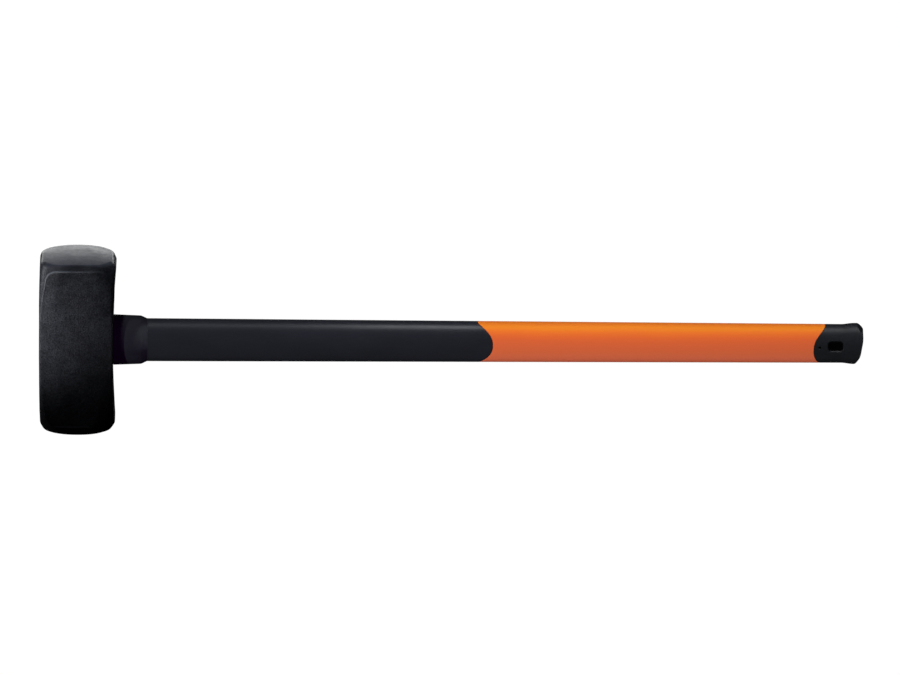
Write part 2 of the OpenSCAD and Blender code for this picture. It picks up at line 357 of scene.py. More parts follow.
# ---------------------------------------------------------------- materials, in metres
class Nodes:
    """Shorthand for building a node material."""

    def __init__(self, name):
        self.material = bpy.data.materials.new(name)
        self.material.use_nodes = True
        self.tree = self.material.node_tree
        self.bsdf = self.tree.nodes["Principled BSDF"]
        self.coord = self.new("ShaderNodeTexCoord").outputs["Object"]

    def new(self, kind, **inputs):
        node = self.tree.nodes.new(kind)
        for key, value in inputs.items():
            self.put(node.inputs[key.replace("_", " ")], value)
        return node

    def put(self, socket, value):
        if isinstance(value, bpy.types.NodeSocket):
            self.tree.links.new(value, socket)
        else:
            socket.default_value = value

    def finish(self, **inputs):
        """Sets the surface's inputs and returns the material."""
        for key, value in inputs.items():
            self.put(self.bsdf.inputs[key.replace("_", " ")], value)
        return self.material

    def named(self, key):
        node = self.new("ShaderNodeAttribute")
        node.attribute_name = key
        return node.outputs["Fac"]

    def split(self, vector):
        return self.new("ShaderNodeSeparateXYZ", Vector=vector).outputs

    def scaled(self, *scale):
        node = self.new("ShaderNodeMapping", Vector=self.coord, Scale=scale)
        return node.outputs["Vector"]

    def noise(self, scale, detail=3.0, rough=0.5, vector=None):
        return self.new(
            "ShaderNodeTexNoise",
            Vector=vector or self.coord,
            Scale=scale,
            Detail=detail,
            Roughness=rough,
        ).outputs["Fac"]

    def cells(self, scale):
        node = self.new("ShaderNodeTexVoronoi", Vector=self.coord, Scale=scale)
        return node.outputs["Distance"]

    def ramp(self, fac, stops):
        node = self.new("ShaderNodeValToRGB", Fac=fac)
        elements = node.color_ramp.elements
        while len(elements) < len(stops):
            elements.new(0.5)
        for element, (position, colour) in zip(elements, stops):
            element.position = position
            element.color = colour + (1,)
        return node.outputs["Color"]

    def math(self, op, a, b=0.0, clamp=False):
        node = self.new("ShaderNodeMath")
        node.operation = op
        node.use_clamp = clamp
        self.put(node.inputs[0], a)
        self.put(node.inputs[1], b)
        return node.outputs["Value"]

    def times(self, a, b, clamp=False):
        return self.math("MULTIPLY", a, b, clamp)

    def plus(self, a, b, clamp=False):
        return self.math("ADD", a, b, clamp)

    def minus(self, a, b):
        return self.math("SUBTRACT", a, b)

    def span(self, value, of, to=(0, 1)):
        """Maps the range of onto the range to."""
        return self.new(
            "ShaderNodeMapRange",
            Value=value,
            From_Min=of[0],
            From_Max=of[1],
            To_Min=to[0],
            To_Max=to[1],
        ).outputs["Result"]

    def mix(self, fac, a, b):
        node = self.new("ShaderNodeMix")
        node.data_type = "RGBA"
        self.put(node.inputs["Factor"], fac)
        for key, colour in (("A", a), ("B", b)):
            socket = isinstance(colour, bpy.types.NodeSocket)
            self.put(node.inputs[key], colour if socket else colour + (1,))
        return next(out for out in node.outputs if out.type == "RGBA")

    def scale(self, colour, fac):
        node = self.new("ShaderNodeVectorMath")
        node.operation = "SCALE"
        self.put(node.inputs[0], colour)
        self.put(node.inputs["Scale"], fac)
        return node.outputs["Vector"]

    def bump(self, height, depth, strength=1.0, over=None):
        node = self.new("ShaderNodeBump", Height=height, Distance=depth, Strength=strength)
        if over is not None:
            self.put(node.inputs["Normal"], over)
        return node.outputs["Normal"]

    def moulded(self, grain_scale, grain_depth):
        """Flow marks along the handle under a fine grain."""
        flow = self.noise(scale=14, detail=2, vector=self.scaled(0.4, 1, 1))
        marks = self.bump(flow, depth=0.00010)
        return self.bump(self.noise(scale=grain_scale, detail=2), depth=grain_depth, over=marks)


def enamel():
    """Semi-gloss black enamel on a forging: orange peel, soft dents, pin pricks, fine scuffs."""
    mat = Nodes("black_enamel")
    tone = mat.span(mat.noise(scale=60, detail=4, rough=0.6), of=(0.35, 0.65))
    col = mat.mix(tone, (0.0095, 0.0095, 0.0115), (0.0150, 0.0152, 0.0178))
    speck = mat.span(mat.cells(scale=420), of=(0.0, 0.10), to=(1, 0))
    col = mat.mix(mat.times(speck, 0.6, clamp=True), col, (0.050, 0.052, 0.058))
    streaks = mat.noise(scale=900, detail=2, vector=mat.scaled(1.0, 1.0, 0.10))
    patches = mat.span(mat.noise(scale=35, rough=0.6), of=(0.5, 0.68))
    scuff = mat.times(mat.span(streaks, of=(0.66, 0.74)), patches, clamp=True)
    col = mat.mix(mat.times(scuff, 0.35), col, (0.040, 0.041, 0.045))

    # brightness mottling, strong on the body and weak on the striking faces
    body = mat.minus(1.0, mat.named("flat"))
    grit = mat.span(mat.noise(scale=820, detail=2, rough=0.6), of=(0.32, 0.68), to=(0.25, 1.85))
    blot = mat.span(mat.noise(scale=260, rough=0.65), of=(0.30, 0.70), to=(0.72, 1.28))
    change = mat.minus(mat.times(grit, blot), 1.0)
    share = mat.plus(mat.times(body, 0.8), 0.2)
    col = mat.scale(col, mat.plus(mat.times(change, share), 1.0))
    # a lighter line along the cheeks' ridge: worn enamel and a painted highlight, strongest at the
    # upper left where the light falls
    thin = mat.span(mat.noise(scale=120, rough=0.6), of=(0.35, 0.6), to=(0.45, 1.0))
    ridge_rub_and_highlight = mat.times(mat.named("worn"), thin, clamp=True)
    col = mat.mix(mat.times(ridge_rub_and_highlight, 0.75), col, (0.075, 0.077, 0.083))

    rough = mat.span(mat.noise(scale=140, detail=4, rough=0.65), of=(0.3, 0.7), to=(0.34, 0.47))
    peel = mat.bump(mat.noise(scale=55), depth=0.00005)
    dent_share = mat.plus(mat.times(body, 0.7), 0.3)
    dents = mat.bump(mat.noise(scale=700, rough=0.6), 0.00030, strength=dent_share, over=peel)
    pricks = mat.span(mat.cells(scale=230), of=(0.0, 0.16))
    return mat.finish(
        Base_Color=col,
        Roughness=mat.plus(rough, mat.times(scuff, 0.12)),
        Specular_IOR_Level=0.42,
        Normal=mat.bump(pricks, 0.00010, strength=mat.times(body, 0.8), over=dents),
    )


def slot_painted_shade(mat, col):
    """Painted shade: darkens the colour inside the cap's slot, where the slot lies in shade."""
    x, y, z = mat.split(mat.coord)
    middle_z = (AXIS_H + (LIP_UP - SLOT_DOWN) / 2) * MM
    limits = (  # offset from the slot's middle, where the fade starts and ends in mm
        (mat.minus(x, X_SLOT * MM), 8.2, 8.6),
        (mat.minus(z, middle_z), 5.15, 5.4),
        (y, 12.5, 13.0),
    )
    inside = None
    for offset, start, end in limits:
        fade = mat.span(mat.math("ABSOLUTE", offset), of=(start * MM, end * MM), to=(1, 0))
        inside = fade if inside is None else mat.times(inside, fade)
    # the painted shade colour, mixed in inside the slot
    return mat.mix(mat.times(inside, 0.85), col, (0.0012, 0.0008, 0.0012))


def rubber(name, low, high, rough, specular=0.3, grain=1e-5, slot=False):
    """Smooth satin overmould: faint mottling between two colours and a grain of that depth."""
    mat = Nodes(name)
    tone = mat.noise(scale=30, rough=0.6, vector=mat.scaled(0.35, 1, 1))
    col = mat.mix(mat.span(tone, of=(0.35, 0.65)), low, high)
    # paints shade inside the cap's slot when slot is set
    if slot:
        col = slot_painted_shade(mat, col)
    sheen = mat.noise(scale=90, detail=4, rough=0.6)
    return mat.finish(
        Base_Color=col,
        Roughness=mat.span(sheen, of=(0.3, 0.7), to=(rough - 0.03, rough + 0.04)),
        Specular_IOR_Level=specular,
        Normal=mat.moulded(grain_scale=2600, grain_depth=grain),
    )


def orange():
    """Satin orange moulding with painted light and shade: yellower where it faces up and browner
    below.
    """
    mat = Nodes("orange_jacket")
    # the colour follows which way the surface faces: painted light on top, painted shade below
    normal = mat.new("ShaderNodeNewGeometry").outputs["Normal"]
    facing = mat.span(mat.split(normal)["Z"], of=(-1, 1))
    wobble = mat.noise(scale=25, rough=0.6, vector=mat.scaled(0.3, 1, 1))
    wobble = mat.span(wobble, of=(0.3, 0.7), to=(-0.03, 0.03))
    stops = [  # painted light and shade by facing: how far up the surface faces, red, green / red, blue / red
        (0.10, 0.70, 0.200, 0.090),
        (0.23, 0.70, 0.190, 0.080),
        (0.34, 0.69, 0.185, 0.066),
        (0.42, 0.69, 0.180, 0.054),
        (0.50, 0.69, 0.172, 0.052),
        (0.58, 0.70, 0.168, 0.044),
        (0.66, 0.73, 0.178, 0.036),
        (0.77, 0.77, 0.208, 0.026),
        (0.84, 0.78, 0.252, 0.018),
        (0.92, 0.78, 0.266, 0.016),
        (0.98, 0.76, 0.240, 0.024),
    ]
    colours = [(up, (red, red * green, red * blue)) for up, red, green, blue in stops]
    sheen = mat.noise(scale=70, detail=4, rough=0.6)
    return mat.finish(
        Base_Color=mat.ramp(mat.plus(facing, wobble, clamp=True), colours),
        Roughness=mat.span(sheen, of=(0.3, 0.7), to=(0.44, 0.52)),
        Specular_IOR_Level=0.2,
        Normal=mat.moulded(grain_scale=2200, grain_depth=0.000008),
    )


def resin():
    """Glossy amber resin with small pits."""
    mat = Nodes("bond_resin")
    tone = mat.span(mat.noise(scale=220), of=(0.3, 0.7))
    pits = mat.span(mat.cells(scale=500), of=(0.0, 0.2))
    return mat.finish(
        Base_Color=mat.mix(tone, (0.20, 0.115, 0.035), (0.34, 0.22, 0.075)),
        Roughness=mat.span(mat.noise(scale=300), of=(0.3, 0.7), to=(0.12, 0.24)),
        Coat_Weight=0.4,
        Normal=mat.bump(pits, depth=0.00008, strength=0.7),
    )


def glass_fibre():
    """Sawn end of a pultruded rod: packed fibre ends, saw marks, pale straw colour."""
    mat = Nodes("glass_fibre")
    ends = mat.span(mat.cells(scale=2600), of=(0.1, 0.5), to=(1, 0))
    patch = mat.noise(scale=160, detail=4, rough=0.6)
    col = mat.mix(ends, (0.34, 0.29, 0.17), (0.66, 0.61, 0.43))
    col = mat.mix(mat.span(patch, of=(0.35, 0.7), to=(0, 0.45)), col, (0.24, 0.20, 0.11))
    saw = mat.noise(scale=900, detail=2, vector=mat.scaled(1, 0.06, 1))
    marks = mat.bump(saw, depth=0.00010)
    return mat.finish(
        Base_Color=col, Roughness=0.55, Normal=mat.bump(ends, depth=0.00006, over=marks)
    )


def steel():
    """Dark, dull steel."""
    mat = Nodes("pin_steel")
    return mat.finish(
        Metallic=0.7,
        Base_Color=mat.mix(mat.noise(scale=900), (0.006, 0.006, 0.007), (0.014, 0.014, 0.014)),
        Roughness=mat.span(mat.noise(scale=1500), of=(0.3, 0.7), to=(0.42, 0.6)),
        Normal=mat.bump(mat.noise(scale=3000, detail=2), depth=0.00003),
    )


ENAMEL = enamel()
SLEEVE = rubber(
    "sleeve_rubber", (0.0115, 0.0118, 0.0155), (0.0140, 0.0143, 0.0190), rough=0.38, specular=0.35
)
COLLAR = rubber(
    "collar_rubber", (0.0112, 0.0117, 0.0140), (0.0140, 0.0146, 0.0174), rough=0.46, grain=1.5e-5
)
# the cap gets painted shade inside its slot
CAP = rubber(
    "cap_plastic", (0.0085, 0.0090, 0.0105), (0.0130, 0.0138, 0.0160),
    rough=0.42, specular=0.35, grain=1.4e-5, slot=True,
)
SEAL = rubber("seal_rubber", (0.006,) * 3, (0.010,) * 3, rough=0.60, grain=2e-5)
ORANGE = orange()
RESIN = resin()
FIBRE = glass_fibre()
STEEL = steel()


# ---------------------------------------------------------------- the head
def eye_size(x):
    """Half height and half width of the eye at x."""
    spread = EYE_SPREAD * np.sqrt(x * x + 1.0)
    return EYE_H + spread, EYE_W + spread


def ridge_gap(x, z):
    """Distance, in the plane of a cheek, from the worn ridge round its flat."""
    tall = np.abs(z)
    side = np.abs(x - RIDGE_MID) - np.interp(tall, RIDGE_AT_Z, RIDGE_HALF_X)
    return smax(side, tall - RIDGE_Z, 12.0)


def head_body(x, y, z, radius):
    """The squared body: waisted on the right, bulged on the left, corners barrelled."""
    tall = soft_abs(z)
    rise = np.clip((tall - SEAT_H) / (Z_BODY - SEAT_H), 0, None)
    # both sides stand out or draw in a little more above and below the middle
    right = HALF_W - WAIST * (1 - rise**2) + ease((tall - 24.6) / 6) * np.where(z > 0, 0.70, -0.48)
    left = HALF_W + BULGE * (1 - (tall / Z_BODY) ** 2)
    left = left + ease((tall - 4) / 46) * np.where(z > 0, 0.34, -0.05)
    g = smax(smax(x - right, -x - left, 1.0), soft_abs(y) - HALF_W, 2.0)
    return smax(g, radius - (CORNER_MID - CORNER_FALL * (tall / Z_BODY) ** CORNER_POWER), 1.5)


def head_rim(x, y, z, radius, front):
    """Limits that slant from the body's outline at Z_BODY to the face's outline at Z_RIM."""
    rise = Z_RIM - Z_BODY
    share = (soft_abs(z) - Z_BODY) / rise
    low = z < 0

    def slant(reach, start, end, shift=0.0):
        run = start - end
        return (reach - (start - run * share) - shift) / np.hypot(1, run / rise)

    g = slant(x, HALF_W, RIM_RIGHT, np.where(low, -0.2, 0.0))
    g = smax(g, slant(-x, HALF_W, RIM_LEFT, np.where(low, 0, 0.6)), 1.0)
    g = smax(g, slant(soft_abs(y), HALF_W, RIM_Y), 1.6)
    g = smax(g, slant(y, HALF_W + 1.0, RIM_BACK), 0.5)
    face_r = np.where(low, RIM_LOW_R, RIM_TOP_R + 1.3 * front)
    return smax(g, slant(radius, CORNER_MID - CORNER_FALL, face_r), 6.5)


def head_field(x, y, z):
    """The forging: body, rims, crowned faces, ridges on the cheeks and the eye."""
    ax, ay, az = soft_abs(x), soft_abs(y), soft_abs(z)
    low = z < 0  # the lower face is a little flatter, narrower and crisper
    front = np.clip((-y - 4) / 18, 0, 1)
    diag = 2 * ax * ay / (ax * ax + ay * ay)  # 1 on the diagonals
    shifted = x + CORNER_SHIFT
    radius = np.sqrt(shifted * shifted + y * y + 0.01)
    soft = 0.45 + 6.0 * np.clip((diag - 0.7) / 0.3, 0, 1) ** 2
    g = smax(head_body(x, y, z, radius), head_rim(x, y, z, radius, front), soft)

    crown_r = np.where(low, CROWN_LOW_R, CROWN_TOP_R)
    apex = HALF_LEN + LAND_R**2 / (2 * crown_r)
    crown = np.sqrt(x * x + y * y + (az + crown_r - apex) ** 2) - crown_r
    soft = np.where(low, 0.9, 1.0) + np.where(low, 2.2, 4.6 - 2.4 * front) * diag**3
    g = smax(g, smax(crown, az - HALF_LEN, 0.15), soft)

    # the ridge stands on the cheeks only, fades towards the eye and is lower to the right
    line = RIDGE * np.exp(-((ridge_gap(x, z) / RIDGE_WIDTH) ** 2)) * np.clip((ay - 30) / 4, 0, 1)
    line = line * np.clip((az - 30) / 22, 0, 1) * np.where(low, 0.4, 1.0)
    g = g - line * np.clip(0.8 - x / 40, 0.3, 1)
    return smax(g, -oval_gap(y, z, *eye_size(x)), 1.6)


def forged_field(x, y, z):
    """The head with a forging's soft unevenness, fading out towards the striking faces."""
    points = np.stack(np.broadcast_arrays(x, y, z), -1)
    calm = 0.15 + 0.85 * np.clip((Z_RIM - np.abs(z)) / 10, 0, 1)
    rough = 0.10 * value_noise(points, 26.0, 3) + 0.035 * value_noise(points, 8.0, 5)
    return head_field(x, y, z) + calm * rough


def build_head():
    across = graded(
        (-39, -25, 0.6), (-25, -20, 0.8), (-20, 20, 0.9), (20, 25, 0.8), (25, 39, 0.6)
    )
    tall = graded(
        (-89, -74, 0.5), (-74, -58, 0.8), (-58, -24, 1.1), (-24, 24, 0.8),
        (24, 58, 1.1), (58, 74, 0.8), (74, 89, 0.5),
    )
    verts, faces, normals = surface_net(forged_field, (across, across, tall))
    x, y, z = verts.T
    # where the enamel has worn thin along the ridge, plus a painted highlight there, mostly at the
    # upper left where the light falls
    worn = np.exp(-((ridge_gap(x, z) / 0.75) ** 2)) * np.clip((np.abs(y) - 30) / 4, 0, 1)
    worn = worn * np.interp(z, (20, 45, 70, 77), (0.04, 0.45, 0.5, 1.0))
    worn = worn * np.clip(0.62 - x / 45, 0.06, 1)
    flat = np.clip((np.abs(z) - 80) / 4, 0, 1)
    return add_piece(
        "sledge_head", verts, faces, ENAMEL, "hammer_head", "head_enamel",
        normals=normals, attributes={"worn": worn, "flat": flat},
    )


# ---------------------------------------------------------------- resin, seal and core in the eye
def eye_ring(x, share, offset=0.0):
    """A ring between the core (share 0) and the eye's wall (share 1), moved along x by offset."""
    eye_h, eye_w = eye_size(x)
    high = CORE_H + 0.03 + (eye_h - 0.04 - CORE_H) * share
    wide = CORE_W + 0.03 + (eye_w - 0.04 - CORE_W) * share
    return oval_ring(x + offset, high, wide, CORE_SEGS)


def build_bond():
    start, end = head_lo[0] + 1.5, X_SEAT - 4.1
    turn = 3 * np.arange(CORE_SEGS) * 2 * np.pi / CORE_SEGS
    rings = []
    for share in np.arange(13) / 12:
        rise = -0.9 * abs(2 * share - 1) ** 3  # the resin creeps up both walls
        wave = 0.12 * np.sin(turn + 1) * share * (1 - share) * 4
        rings.append(eye_ring(start + 0.25, share, rise + wave))
    rings += [eye_ring(x, 1.0) for x in np.linspace(start + 2, end, 12)]
    rings += [eye_ring(end, share) for share in np.linspace(1, 0, 5)[1:]]
    rings += [eye_ring(x, 0.0) for x in np.linspace(X_SEAT - 6, start + 2, 8)]
    add_piece("resin_fill", *tube_mesh(rings), RESIN, "eye_bond", "bond_resin")


def build_seal():
    stations = (  # depth behind the seat, share of the way from the core to the eye's wall
        [(4.0, share) for share in np.linspace(0, 0.9, 5)]
        + [(3.8, 1.0), (2.2, 1.0), (0.3, 1.0)]
        + [(0.05, share) for share in np.linspace(0.95, 0, 5)]
        + [(1.5, 0.0), (3.0, 0.0)]
    )
    rings = [eye_ring(X_SEAT - depth, share) for depth, share in stations]
    add_piece("seal_ring", *tube_mesh(rings), SEAL, "eye_seal", "seal_rubber")


def core_ring(x, inset):
    return oval_ring(x, CORE_H - inset, CORE_W - inset, CORE_SEGS)


def core_end(x, shares):
    """Shrunken rings on a flat end of the core."""
    return [oval_ring(x, CORE_H * share, CORE_W * share, CORE_SEGS) for share in shares]


def build_core():
    start, end, edge_r = core_lo[0], core_hi[0], 0.5
    rings = core_end(start, (0.25, 0.5, 0.75, 0.9))
    rings += roll(core_ring, start, -1, edge_r, 5)[::-1]
    rings += [core_ring(x, 0) for x in np.linspace(start + 6, end - 6, 40)]
    rings += roll(core_ring, end, 1, edge_r, 4)
    rings += core_end(end, (0.9, 0.6, 0.3))
    add_piece("fibre_rod", *solid_mesh(rings), FIBRE, "handle_core", "core_glass_fibre")


# ---------------------------------------------------------------- sleeve, jacket and collar
def half_height(x):
    """Half height of the handle at x."""
    return GRIP_START + (GRIP_END - GRIP_START) * (x - X_COLLAR) / (X_FLARE - X_COLLAR)


def tongue(z):
    """The tongue edge of the sleeve: x at height z."""
    return X_TONGUE - TONGUE_LEN * np.abs(z / half_height(X_TONGUE)) ** TONGUE_POWER


def cap_edge(z):
    """The wavy left edge of the cap: x at height z, a smooth run through EDGE_X."""
    z = np.clip(z, -20, 20)
    total = weights = 0
    for shift in (-1.5, -0.75, 0, 0.75, 1.5):
        weight = math.exp(-((shift / 1.2) ** 2))
        total = total + weight * np.interp(z + shift, EDGE_Z, EDGE_X)
        weights += weight
    return X_CAP - EDGE_LEAST + total / weights


def collar_height(x):
    """Half height of the collar: a slow taper, a rounded shoulder and a concave run-out."""
    fall = COLLAR_START - COLLAR_END
    taper = COLLAR_START - fall * (x - X_SEAT) / (X_SHOULDER - X_SEAT)
    slope = COLLAR_END - RUN_OUT * (x - X_SHOULDER - 0.5)
    return smax(smin(taper, slope, 0.55), half_height(x), 0.25)


def handle_ring(x, inset, height=half_height):
    """A ring of the handle's surface at x (a number or one per angle), set in by inset."""
    high = height(x)
    return oval_ring(x, high - inset, ASPECT * high - inset, GRIP_SEGS)


def collar_ring(x, inset):
    return handle_ring(x, inset, collar_height)


def run(start, end, shares, inset):
    """Handle rings at shares of the way from start to end."""
    return [handle_ring(start + (end - start) * share, inset) for share in shares]


grip_oval_z = oval(GRIP_SEGS)[1]
tongue_x = tongue(half_height(X_TONGUE - 5) * grip_oval_z)
cap_x = cap_edge(half_height(X_CAP + 5) * grip_oval_z)


def build_sleeve():
    start, end = X_COLLAR + 0.01, tongue_x - SEAM
    shares = np.concatenate([np.linspace(0, 0.97, 70), [0.98, 0.988, 0.994]])
    rings = roll(handle_ring, start, -1, 0.08, 4)[::-1]
    rings += run(X_COLLAR + 1.0, tongue_x - 0.9, shares, 0)
    rings += roll(handle_ring, end, 1, 0.45, 6)
    rings += [handle_ring(end, LINING - 0.1), handle_ring(end - 0.1, LINING)]
    rings += run(X_COLLAR + 0.3, tongue_x - 1.0, np.linspace(0.99, 0, 40), LINING)
    rings.append(handle_ring(start, LINING - 0.1))
    return add_piece("grip_cover", *tube_mesh(rings), SLEEVE, "grip_sleeve", "sleeve_rubber")


def build_jacket():
    step, edge_r = tongue_x + SEAM, 0.35  # step up from under the sleeve to the full surface
    end = cap_x - SEAM
    shares = [0.003, 0.01, 0.02], np.linspace(0.03, 0.97, 64), [0.98, 0.99, 0.997]
    rings = [handle_ring(X_SEAT + 0.4, SKIN + 0.2), handle_ring(X_SEAT + 0.6, SKIN)]
    rings += run(X_SEAT + 3, tongue_x - 1.5, np.linspace(0, 1, 40), SKIN)
    rings += [handle_ring(step - 0.1, SKIN), handle_ring(step, SKIN - 0.1)]
    rings += roll(handle_ring, step, -1, edge_r, 6)[::-1]
    rings += run(tongue_x + 0.6, cap_x - 0.6, np.concatenate(shares), 0)
    rings += roll(handle_ring, end, 1, edge_r, 6)
    # down under the cap, then back along the core
    rings += [handle_ring(end, SKIN - 0.1), handle_ring(end + 0.1, SKIN + 0.02)]
    rings.append(handle_ring(X_JACKET_END - 0.3, SKIN + 0.02))
    rings.append(handle_ring(X_JACKET_END - 0.1, SKIN + 0.2))
    bore = np.linspace(X_JACKET_END - 2, X_SEAT + 3, 60)
    for x in [X_JACKET_END - 0.1, *bore, X_SEAT + 0.4]:
        rings.append(oval_ring(x, CORE_H + 0.05, CORE_W + 0.05, GRIP_SEGS))
    return add_piece("orange_jacket", *tube_mesh(rings), ORANGE, "handle_jacket", "jacket_orange")


def build_collar():
    start, end = X_SEAT + 0.03, X_COLLAR - 0.01
    rings = roll(collar_ring, start, -1, 0.7, 6)[::-1]
    for x in [*np.linspace(start + 1.5, 57, 16), *np.linspace(58, 67.0, 46)]:
        rings.append(collar_ring(x, 0))
    rings += roll(collar_ring, end, 1, 0.08, 4)
    rings.append(handle_ring(end, LINING - 0.1))
    rings += [handle_ring(x, LINING) for x in np.linspace(X_COLLAR - 0.3, X_SEAT + 0.3, 20)]
    rings.append(handle_ring(start, LINING - 0.2))
    return add_piece(
        "collar_guard", *tube_mesh(rings), COLLAR, "overstrike_collar", "collar_rubber"
    )


# ---------------------------------------------------------------- butt cap and pin
def slot_field(x, z, deep):
    """The slot through the cap: its lip narrows to the throat with depth below the surface."""

    def funnel(lip, throat, depth):
        return lip + (throat - lip) * np.minimum(deep / depth, 1)

    top, low = funnel(LIP_UP, SLOT_UP, 5.0), funnel(LIP_DOWN, SLOT_DOWN, 1.3)
    length, corner = funnel(LIP_L, SLOT_L, 2.0), funnel(LIP_R, SLOT_R, 2.0)
    return rounded_box(x - X_SLOT, z - (top - low) / 2, length, top + low, corner)


def cap_field(x, y, z):
    """The flared cap, hollow over the jacket, with a spigot, a slot and a hole for the pin."""
    high = half_height(np.minimum(x, X_FLARE)) + 1.15 * ease((x - (X_FLARE - 1.5)) / 12.0)
    high = high + 0.02 * np.maximum(x - X_FLARE - 10, 0)
    body = oval_gap(y, z, high, ASPECT * high)
    ends = None
    for (xa, za), (xb, zb) in zip(CAP_END[:-1], CAP_END[1:]):
        nx, nz = za - zb, xb - xa
        side = ((x - xa) * nx + (z - za) * nz) / math.hypot(nx, nz)
        ends = side if ends is None else smax(ends, side, 1.2)
    g = smax(body, ends, 1.3)
    e = 0.05
    slope = (cap_edge(z + e) - cap_edge(z - e)) / (2 * e)
    g = smax(g, (cap_edge(z) + SEAM - x) / np.sqrt(1 + slope**2), 0.5)
    inner = half_height(x)
    bore = oval_gap(y, z, inner - SKIN + 0.03, ASPECT * inner - SKIN + 0.03)
    g = smax(g, -smax(bore, x - X_JACKET_END, 0.3), 0.4)
    spigot = smax(oval_gap(y, z, CORE_H - 0.12, CORE_W - 0.12), x - X_JACKET_END - 2, 0.3)
    g = smin(g, smax(spigot, core_hi[0] + 3 - x, 0.8), 0.3)
    g = smax(g, -slot_field(x, z, np.clip(-body, -1, 30)), 0.6)
    pin = np.sqrt((x - X_PIN) ** 2 + (z - Z_PIN) ** 2) - 1.27
    return smax(g, -pin, 0.35)


def build_cap():
    step = 0.5
    axes = (
        graded((core_hi[0] + 1.5, X_CAP - 2, 1.5), (X_CAP - 2, X_BUTT + 1.5, step)),
        graded((-16.5, 16.5, step)),
        graded((-22, 22, step)),
    )
    verts, faces, normals = surface_net(cap_field, axes)
    return add_piece("end_cap", verts, faces, CAP, "butt_cap", "cap_black", normals=normals)


def build_pin():
    half, shank_r = (pin_hi[1] - pin_lo[1]) / 2, 1.26
    # rounded end: depth from the tip, radius
    end = [(0.0, 0.4), (0.0, 0.8), (0.0, 1.12), (0.03, 1.2), (0.1, 1.25), (0.3, shank_r)]
    stations = [(-half + depth, radius) for depth, radius in end]
    stations += [(y, shank_r) for y in np.linspace(-half + 0.6, half - 0.6, 12)]
    stations += [(half - depth, radius) for depth, radius in end[::-1]]
    t = 2 * np.pi * np.arange(PIN_SEGS) / PIN_SEGS
    rings = [
        np.stack([X_PIN + r * np.cos(t), np.full(PIN_SEGS, y), Z_PIN + r * np.sin(t)], 1)
        for y, r in stations
    ]
    add_piece("cross_pin", *solid_mesh(rings), STEEL, "cap_pin", "pin_steel")


head = build_head()
build_bond()
build_seal()
build_core()
sleeve = build_sleeve()
jacket = build_jacket()
collar = build_collar()
cap = build_cap()
build_pin()

# ---------------------------------------------------------------- stage, in metres
scene = bpy.context.scene


def camera_white(tree, out_socket, other, kind):
    """White where the camera looks straight at it, the other shader for every other ray."""
    path = tree.nodes.new("ShaderNodeLightPath")
    mix = tree.nodes.new("ShaderNodeMixShader")
    white = tree.nodes.new(kind)
    white.inputs["Color"].default_value = (1, 1, 1, 1)
    white.inputs["Strength"].default_value = 1.02
    tree.links.new(path.outputs["Is Camera Ray"], mix.inputs["Fac"])
    tree.links.new(other.outputs[0], mix.inputs[1])
    tree.links.new(white.outputs[0], mix.inputs[2])
    tree.links.new(mix.outputs[0], out_socket)


def white_ground(owner, output, kind, colour, white_kind):
    """Gives a material or the world a shader of that colour that the camera sees as white."""
    owner.use_nodes = True
    tree = owner.node_tree
    tree.nodes.clear()
    out = tree.nodes.new(output)
    shader = tree.nodes.new(kind)
    shader.inputs["Color"].default_value = colour
    camera_white(tree, out.inputs["Surface"], shader, white_kind)


floor_mesh = bpy.data.meshes.new("floor")
FLOOR = 40.0  # half its side
corners = [(-FLOOR, -FLOOR, 0), (FLOOR, -FLOOR, 0), (FLOOR, FLOOR, 0), (-FLOOR, FLOOR, 0)]
floor_mesh.from_pydata(corners, [], [(0, 1, 2, 3)])
floor = bpy.data.objects.new("floor", floor_mesh)
scene.collection.objects.link(floor)
floor_white = bpy.data.materials.new("floor_white")
white_ground(
    floor_white, "ShaderNodeOutputMaterial", "ShaderNodeBsdfDiffuse", (0.10, 0.10, 0.10, 1),
    "ShaderNodeEmission",
)
floor_mesh.materials.append(floor_white)
scene.world = bpy.data.worlds.new("studio")
white_ground(
    scene.world, "ShaderNodeOutputWorld", "ShaderNodeBackground", (0.006, 0.006, 0.007, 1),
    "ShaderNodeBackground",
)

# ---------------------------------------------------------------- lights
AXIS_Z = AXIS_H * MM
COOL = (0.94, 0.97, 1.0)
DUSK = (0.75, 0.12, 1.0)
PALE = (0.96, 1.04, 1.0)


def near(x, y, z):
    """A point given by its height above the handle's axis."""
    return x, y, AXIS_Z + z


def polar(x, azimuth, elevation, distance):
    """A point seen from the handle's axis at x; azimuth 0 is the front, + to the right."""
    a, b = math.radians(azimuth), math.radians(elevation)
    y = -distance * math.cos(a) * math.cos(b)
    return near(x + distance * math.sin(a) * math.cos(b), y, distance * math.sin(b))


def add_light(kind, name, at, to, watts, only, color, glossy):
    """A light hidden from the camera that shines only on the objects in only, or on all."""
    light = bpy.data.lights.new(name, kind)
    light.energy = watts
    light.color = color
    ob = bpy.data.objects.new(name, light)
    ob.visible_glossy = glossy
    scene.collection.objects.link(ob)
    ob.location = at
    ob.rotation_euler = (Vector(to) - Vector(at)).to_track_quat("-Z", "Y").to_euler()
    ob.visible_camera = False
    if only:
        group = bpy.data.collections.new(name + "_on")
        for o in only:
            group.objects.link(o)
        ob.light_linking.receiver_collection = group
    return light


def area(name, at, to, size, watts, only=None, color=COOL, glossy=False):
    light = add_light("AREA", name, at, to, watts, only, color, glossy)
    light.shape = "RECTANGLE"
    light.size, light.size_y = size
    light.spread = math.radians(180)


def spot(name, at, to, angle, radius, watts, only, blend=1.0, color=COOL, glossy=False):
    light = add_light("SPOT", name, at, to, watts, only, color, glossy)
    light.spot_size = math.radians(angle)
    light.spot_blend = blend
    light.shadow_soft_size = radius


